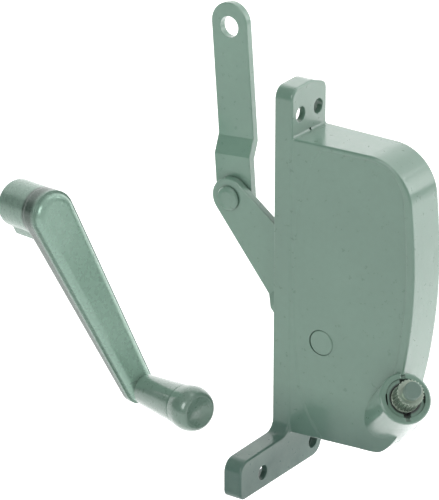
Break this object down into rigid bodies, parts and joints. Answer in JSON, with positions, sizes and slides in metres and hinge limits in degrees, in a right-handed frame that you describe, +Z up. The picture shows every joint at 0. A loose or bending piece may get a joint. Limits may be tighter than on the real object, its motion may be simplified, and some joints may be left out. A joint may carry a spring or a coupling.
{
  "type": "awning window operator with crank",
  "caption": "Worm-geared awning window operator: die-cast case with a splined drive stub, swinging pull lever and jogged link, with its loose crank handle beside it.",
  "frame": {"origin": "on the window-frame plane that the flange's rear rim seats on, midway across the flange, level with the lever's pivot axis", "axes": "+X from the window frame into the room, +Z up along the flange, +Y across the flange away from the foot's free end; the lever's pivot axis is parallel to Y"},
  "size_m": [0.1555, 0.0666, 0.1643],
  "materials": {
    "green_enamel": "glossy grey-green enamel on die casting",
    "green_enamel_steel": "glossy grey-green enamel on stamped steel",
    "zinc_steel": "zinc-plated steel",
    "hardened_steel": "cut and hardened steel, oiled",
    "black_steel": "black oxide",
    "bronze": "sintered bronze, oiled"
  },
  "bodies": {
    "operator_body": {"housing": "green_enamel", "pivot_pin": "green_enamel_steel", "front_shim": "zinc_steel", "rear_spacer": "zinc_steel", "inner_bushing": "bronze", "retaining_bushing": "green_enamel_steel", "thrust_washer": "bronze", "stop_pin": "green_enamel_steel"},
    "lever": {"lever_arm": "green_enamel_steel", "sector_gear": "hardened_steel", "gear_rivets": "zinc_steel", "gear_bushing": "bronze", "link_rivet": "green_enamel_steel", "link_washer": "green_enamel_steel"},
    "link": {"link_arm": "green_enamel_steel"},
    "worm_drive": {"worm_shaft": "zinc_steel", "worm": "hardened_steel", "worm_pin": "zinc_steel"},
    "crank": {"crank_handle": "green_enamel", "spline_insert": "zinc_steel", "set_screw": "black_steel", "knob_spindle": "zinc_steel", "knob_clip": "zinc_steel", "knob_washer": "zinc_steel"},
    "crank_knob": {"knob": "green_enamel"}
  },
  "joints": [
    {"name": "lever_swing", "type": "hinge", "parent": "operator_body", "child": "lever", "pos_m": [0.0191, 0, 0], "axis": [0, -1, 0], "range_deg": [-9, 54]},
    {"name": "worm_spin", "type": "hinge", "parent": "operator_body", "child": "worm_drive", "pos_m": [0.04381, -0.0024, -0.02296], "axis": [-0.5896, 0.4997, -0.6346], "range_deg": [-378, 2268]},
    {"name": "link_swing", "type": "hinge", "parent": "lever", "child": "link", "pos_m": [-0.02331, 0, 0.04286], "axis": [0, -1, 0], "range_deg": [-4, 140]},
    {"name": "crank_lift_off", "type": "slide", "parent": "operator_body", "child": "crank", "axis": [0.9517, -0.2923, 0.0944], "range_m": [0, 0.03]},
    {"name": "knob_spin", "type": "hinge", "parent": "crank", "child": "crank_knob", "pos_m": [-0.05437, -0.01873, -0.03216], "axis": [0.9517, -0.2923, 0.0944], "continuous": true}
  ],
  "couplings": [
    {"joint": "worm_spin", "follows": "lever_swing", "ratio": 42}
  ]
}
